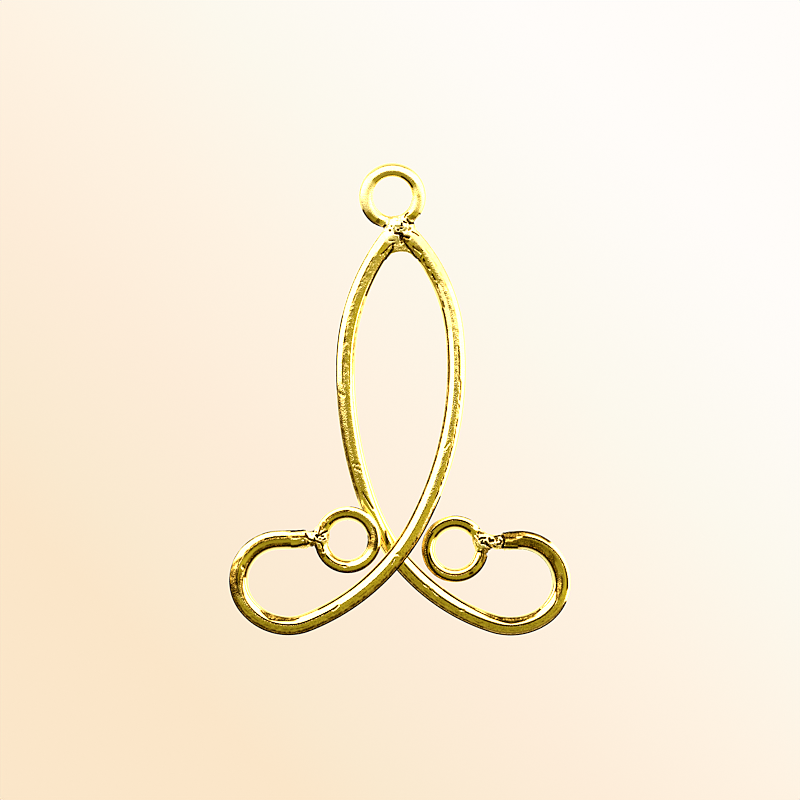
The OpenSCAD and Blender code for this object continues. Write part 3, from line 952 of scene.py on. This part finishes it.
class Nodes:
    """Short ways to add nodes to a tree."""

    # The Mix node has sockets of its own for each type of value. These are those for colours.
    MIX_A, MIX_B, MIX_OUT = 6, 7, 2
    # New stops of a ramp start here, before they get their places
    NEW_STOP = 0.5

    def __init__(self, tree):
        self.tree = tree

    def put(self, kind):
        """A new node."""
        return self.tree.nodes.new(kind)

    def join(self, source, socket):
        self.tree.links.new(source, socket)

    def feed(self, socket, value):
        """Sets a socket to a number or a colour, or links an output to it."""
        if isinstance(value, (int, float, tuple)):
            socket.default_value = value
        else:
            self.join(value, socket)

    def maths(self, kind, *values, clamp=False):
        node = self.put("ShaderNodeMath")
        node.operation = kind
        node.use_clamp = clamp
        for socket, value in zip(node.inputs, values):
            self.feed(socket, value)
        return node.outputs[0]

    def times(self, a, b):
        return self.maths("MULTIPLY", a, b)

    def stretch(self, value, span=(0, 1), to=(0, 1)):
        """Carries the values of a span to those of another, held at both ends."""
        node = self.put("ShaderNodeMapRange")
        names = ("Value", "From Min", "From Max", "To Min", "To Max")
        for name, given in zip(names, (value, *span, *to)):
            self.feed(node.inputs[name], given)
        return node.outputs[0]

    def blend(self, share, a, b, kind="MIX"):
        """Mixes two colours."""
        node = self.put("ShaderNodeMix")
        node.data_type = "RGBA"
        node.blend_type = kind
        self.feed(node.inputs["Factor"], share)
        self.feed(node.inputs[self.MIX_A], a)
        self.feed(node.inputs[self.MIX_B], b)
        return node.outputs[self.MIX_OUT]

    def ramp(self, value, stops):
        """A colour by a value from 0 to 1, out of stops of value and colour."""
        node = self.put("ShaderNodeValToRGB")
        self.join(value, node.inputs[0])
        elements = node.color_ramp.elements
        while len(elements) < len(stops):
            elements.new(self.NEW_STOP)
        for element, stop in zip(elements, stops):
            element.position = stop[0]
        for element, stop in zip(elements, stops):
            element.color = stop[1]
        return node.outputs[0]

    def attribute(self, name):
        """A node that reads an attribute of the mesh."""
        node = self.put("ShaderNodeAttribute")
        node.attribute_name = name
        return node

    def noise(self, place, size, detail, rough=0.5):
        node = self.put("ShaderNodeTexNoise")
        self.join(place, node.inputs["Vector"])
        node.inputs["Scale"].default_value = 1 / size
        node.inputs["Detail"].default_value = detail
        node.inputs["Roughness"].default_value = rough
        return node.outputs["Fac"]


def gold():
    """Polished gold plating with wear, tarnish, painted shade and pale solder."""
    material = bpy.data.materials.new("polished_gold")
    material.use_nodes = True
    n = Nodes(material.node_tree)
    shader = material.node_tree.nodes["Principled BSDF"]
    place = n.put("ShaderNodeTexCoord").outputs["Object"]
    worn, dark, pale = (n.attribute(name).outputs["Fac"] for name in LOOKS)
    squeezed = n.put("ShaderNodeMapping")
    squeezed.inputs["Scale"].default_value = STREAK
    n.join(n.attribute(PATH).outputs["Vector"], squeezed.inputs["Vector"])
    fine = n.noise(place, GRAIN_SIZE, detail=2)
    patch = n.noise(place, PATCH_SIZE, detail=3)
    streak = n.noise(squeezed.outputs[0], size=1, detail=2, rough=0.6)

    def by_wear(noise, span, strength, to=(0, 1)):
        """A noise that sets in over a span of its values, and its strength on clean and on worn gold."""
        return n.times(n.stretch(noise, span, to), n.stretch(worn, to=strength))

    # Brown patches, streaks and specks. The specks are weaker on pale solder.
    patches = by_wear(patch, span=(0.45, 0.7), strength=(0.1, 0.3))
    streaks = by_wear(streak, span=(0.45, 0.7), strength=(0.15, 0.6))
    specks = by_wear(fine, span=(0.5, 0.66), strength=(0.2, 1))
    specks = n.times(specks, n.stretch(pale, to=(1, 0.3)))
    brown_and_painted_shade = n.maths("MAXIMUM", n.maths("ADD", patches, streaks), specks)
    # Tarnish and painted shade from the marks turn the gold brown as well
    brown_and_painted_shade = n.maths("MAXIMUM", brown_and_painted_shade, n.stretch(dark, span=(0, 0.4)), clamp=True)
    # Speckle makes the places of tarnish and painted shade lighter and darker
    speckle = by_wear(fine, span=(0.3, 0.7), strength=(0.4, 1), to=(-0.3, 0.3))
    uneven = n.maths("ADD", dark, n.times(speckle, n.stretch(dark, span=(0.1, 0.4))))
    colour = n.blend(n.stretch(pale, span=(0.5, 1)), CLEAN, SOLDERED)
    colour = n.blend(brown_and_painted_shade, colour, BROWNISH)
    # Tarnish and painted shade darken the gold, to black in the painted dark lines, cracks and pits
    colour = n.blend(n.stretch(uneven, span=(0.35, 0.6)), colour, TARNISHED_AND_PAINTED_SHADE)
    colour = n.blend(n.stretch(uneven, span=(0.65, 0.88)), colour, PAINTED_BLACK_SHADE)
    n.join(colour, shader.inputs["Base Color"])
    # Painted shade also dims the gold's reflections
    n.join(n.blend(n.stretch(dark, span=(0.3, 0.9)), WHITE, PAINTED_BLACK_SHADE), shader.inputs["Specular Tint"])
    dull = n.stretch(pale, span=(0, 0.6), to=(POLISHED, SOLDER_ROUGH))
    rough = n.maths("MAXIMUM", n.stretch(worn, to=(POLISHED, WORN_ROUGH)), dull)
    n.join(rough, shader.inputs["Roughness"])
    bump = n.put("ShaderNodeBump")
    bump.inputs["Strength"].default_value = 1
    n.join(n.stretch(worn, to=(SMOOTH_BUMP, WORN_BUMP)), bump.inputs["Distance"])
    n.join(fine, bump.inputs["Height"])
    n.join(bump.outputs[0], shader.inputs["Normal"])
    shader.inputs["Metallic"].default_value = 1
    return material


# Surroundings that the metal reflects, by azimuth and elevation in degrees
HALF_TURN = 180
AZIMUTHS = (-90, 270)
ELEVATIONS = (-90, 90)
# One wide white panel stands round the upper side: its upper edge by azimuth, its light, and how
# softly it ends
PANEL_EDGE = (
    (-27, -90), (-24, 12), (-8, 26), (0, 37), (10, 48), (25, 58), (38, 67), (62, 74), (90, 77), (130, 75),
    (145, 68), (176, 66), (181, 60), (184, -90))
PANEL_LIGHT = (3.3, 3.3, 3.55, 1)
PANEL_SOFT = 4
# Above its edge the panel has a dark rim: by azimuth, how dark it is
RIM = ((-40, 0), (28, 0), (42, 0.9), (112, 0.9), (124, 0))
RIM_WIDTH, RIM_SOFT = 9, 4
RIM_COLOUR = (0.01, 0.01, 0, 1)
# The rest of the sky is dim: its colour by elevation, and how light it is by azimuth
SKY = (
    (-90, (0.20, 0.13, 0.02)),
    (-20, (0.20, 0.13, 0.02)),
    (0, (0.34, 0.25, 0.035)),
    (25, (0.55, 0.51, 0.08)),
    (55, (0.45, 0.42, 0.035)),
    (90, (0.48, 0.45, 0.06)),
)
SKY_LIGHT = (
    (-90, 0.85), (-60, 0.9), (-30, 1.25), (10, 1.4), (60, 1.2), (185, 1.1), (220, 0.9), (270, 0.85))
SKY_MOST = 2
# Below the panel lies a darker line and then the pale floor: where the panel or the sky ends, and how
# light the line is, by azimuth
PANEL_FOOT = (
    (-90, -12), (-28, -12), (-24, -30), (50, -30), (66, 0), (128, 0), (140, -28), (182, -28), (188, -12),
    (270, -12))
LINE_LIGHT = (
    (-34, 1.2), (50, 1.2), (66, 0.6), (128, 0.6), (140, 0.15), (176, 0.15), (184, 1.2), (270, 1.2))
LINE_HEIGHT = 14
FOOT_SOFT = 6
FLOOR_LIGHT = 1.3
FLOOR_TINT = (1.0, 1.04, 0.8, 1)
# What the camera sees beyond the backdrop
OPEN_COLOUR = (1, 0.97, 0.93, 1)


def world():
    """The studio: what the metal reflects, and a plain pale colour for the camera."""
    made = bpy.data.worlds.new("studio")
    made.use_nodes = True
    made.node_tree.nodes.clear()
    n = Nodes(made.node_tree)
    split = n.put("ShaderNodeSeparateXYZ")
    n.join(n.put("ShaderNodeTexCoord").outputs["Generated"], split.inputs[0])
    x, y, z = split.outputs
    azimuth = n.times(n.maths("ARCTAN2", y, x), HALF_TURN / math.pi)
    azimuth = n.maths("WRAP", azimuth, AZIMUTHS[1], AZIMUTHS[0])
    turn = n.stretch(azimuth, AZIMUTHS)
    height = n.times(n.maths("ARCSINE", z), HALF_TURN / math.pi)

    def by_azimuth(rows, low, high):
        """A value by azimuth, out of rows of azimuth and value that all lie between low and high."""
        stops = []
        for at, value in rows:
            level = (value - low) / (high - low)
            stops.append(((at - AZIMUTHS[0]) / (2 * HALF_TURN), (level, level, level, 1)))
        return n.maths("MULTIPLY_ADD", n.ramp(turn, stops), high - low, low)

    below = n.maths("SUBTRACT", by_azimuth(PANEL_EDGE, *ELEVATIONS), height)
    lit = n.stretch(below, (-PANEL_SOFT / 2, PANEL_SOFT / 2))
    rim = n.times(n.stretch(below, (-RIM_WIDTH - RIM_SOFT, -RIM_WIDTH)), by_azimuth(RIM, 0, 1))
    by_height = [((at - ELEVATIONS[0]) / HALF_TURN, (*colour, 1)) for at, colour in SKY]
    dim = n.ramp(n.stretch(height, ELEVATIONS), by_height)
    dim = n.blend(1, dim, by_azimuth(SKY_LIGHT, 0, SKY_MOST), "MULTIPLY")
    sky = n.blend(lit, n.blend(rim, dim, RIM_COLOUR), PANEL_LIGHT)
    foot = n.maths("SUBTRACT", by_azimuth(PANEL_FOOT, *ELEVATIONS), height)
    in_line = n.stretch(foot, (LINE_HEIGHT, LINE_HEIGHT + FOOT_SOFT))
    low = n.blend(in_line, by_azimuth(LINE_LIGHT, 0, SKY_MOST), tuple(c * FLOOR_LIGHT for c in FLOOR_TINT))
    light = n.put("ShaderNodeBackground")
    n.join(n.blend(n.stretch(foot, (0, FOOT_SOFT)), sky, low), light.inputs["Color"])
    plain = n.put("ShaderNodeBackground")
    plain.inputs["Color"].default_value = OPEN_COLOUR
    mix = n.put("ShaderNodeMixShader")
    n.join(n.put("ShaderNodeLightPath").outputs["Is Camera Ray"], mix.inputs[0])
    n.join(light.outputs[0], mix.inputs[1])
    n.join(plain.outputs[0], mix.inputs[2])
    n.join(mix.outputs[0], n.put("ShaderNodeOutputWorld").inputs[0])
    bpy.context.scene.world = made


# Backdrop: colours from the lower left to the upper right, by the sum of x and y in millimetres
BACKDROP = (
    (-26.5, (251, 230, 201)),
    (-21.2, (250, 233, 207)),
    (-10.6, (253, 236, 216)),
    (0, (254, 242, 226)),
    (10.6, (252, 248, 237)),
    (21.2, (254, 251, 246)),
    (26.5, (255, 252, 249)),
)
BACKDROP_SPAN = 26.5
FLOOR_HALF = 0.7


def linear(value):
    """Light of one channel of a colour, given as an sRGB picture shows it, from 0 to 255."""
    v = value / 255
    return v / 12.92 if v <= 0.04045 else ((v + 0.055) / 1.055) ** 2.4


def plane(name, half, z):
    """A flat square."""
    mesh = bpy.data.meshes.new(name)
    corners = [(-half, -half, z), (half, -half, z), (half, half, z), (-half, half, z)]
    mesh.from_pydata(corners, [], [(0, 1, 2, 3)])
    obj = bpy.data.objects.new(name, mesh)
    bpy.context.scene.collection.objects.link(obj)
    return obj


def floor():
    """The pale backdrop. It gives off its own light, and the metal doesn't reflect it."""
    backdrop = plane("backdrop", FLOOR_HALF, CAD_BOX[0][2])
    for kind in ("glossy", "diffuse", "transmission", "volume_scatter", "shadow"):
        setattr(backdrop, "visible_" + kind, False)
    material = bpy.data.materials.new("backdrop")
    material.use_nodes = True
    material.node_tree.nodes.clear()
    n = Nodes(material.node_tree)
    split = n.put("ShaderNodeSeparateXYZ")
    n.join(n.put("ShaderNodeNewGeometry").outputs["Position"], split.inputs[0])
    across = n.maths("ADD", split.outputs[0], split.outputs[1])
    stops = []
    for at, colour in BACKDROP:
        stops.append(((at + BACKDROP_SPAN) / (2 * BACKDROP_SPAN), (*[linear(c) for c in colour], 1)))
    colour = n.ramp(n.stretch(across, (-BACKDROP_SPAN * MM, BACKDROP_SPAN * MM)), stops)
    light = n.put("ShaderNodeEmission")
    n.join(colour, light.inputs["Color"])
    n.join(light.outputs[0], n.put("ShaderNodeOutputMaterial").inputs[0])
    backdrop.data.materials.append(material)


# Camera straight above, far away: the photo is 42.33 mm wide at the wires
VIEW_WIDTH = 42.33
CAMERA_HEIGHT = 600
SENSOR = 36
CAMERA_AT = (0, 0.026)
# Range of the camera's view, in metres
CLIP_START, CLIP_END = 0.1, 2


def camera():
    """The camera, which looks straight down."""
    data = bpy.data.cameras.new("camera")
    data.sensor_width = SENSOR
    data.lens = SENSOR * (CAMERA_HEIGHT - REST_Z) / VIEW_WIDTH
    data.clip_start = CLIP_START
    data.clip_end = CLIP_END
    obj = bpy.data.objects.new("camera", data)
    obj.location = (CAMERA_AT[0] * MM, CAMERA_AT[1] * MM, CAMERA_HEIGHT * MM)
    bpy.context.scene.collection.objects.link(obj)
    bpy.context.scene.camera = obj


SHARPNESS = 1.4
SHARP_RADIUS = 2
# The sharpening works on the picture's brightness as shown, which is this power of its light
SHOWN = 1 / 2.2


def sharpen():
    """Sharpens the picture a little, as the photo is."""
    scene = bpy.context.scene
    scene.use_nodes = True
    tree = scene.node_tree
    tree.nodes.clear()
    n = Nodes(tree)

    def mixed(kind, share, a, b):
        node = n.put("CompositorNodeMixRGB")
        node.blend_type = kind
        node.use_clamp = kind != "SUBTRACT"
        node.inputs[0].default_value = share
        n.join(a, node.inputs[1])
        n.join(b, node.inputs[2])
        return node.outputs[0]

    def powered(picture, power):
        node = n.put("CompositorNodeGamma")
        node.inputs["Gamma"].default_value = power
        n.join(picture, node.inputs["Image"])
        return node.outputs[0]

    taken = n.put("CompositorNodeRLayers").outputs["Image"]
    # Mixing the picture with itself clamps it
    picture = powered(mixed("MIX", 0, taken, taken), SHOWN)
    soft = n.put("CompositorNodeBlur")
    soft.filter_type = "GAUSS"
    soft.size_x = soft.size_y = SHARP_RADIUS
    n.join(picture, soft.inputs["Image"])
    sharp = mixed("ADD", SHARPNESS, picture, mixed("SUBTRACT", 1, picture, soft.outputs[0]))
    n.join(powered(sharp, 1 / SHOWN), n.put("CompositorNodeComposite").inputs[0])


connector = build_connector()
connector.data.materials.append(gold())
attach(connector, "root")
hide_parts("connector_frame")
world()
floor()
camera()
sharpen()
bpy.context.scene.view_settings.view_transform = "Standard"
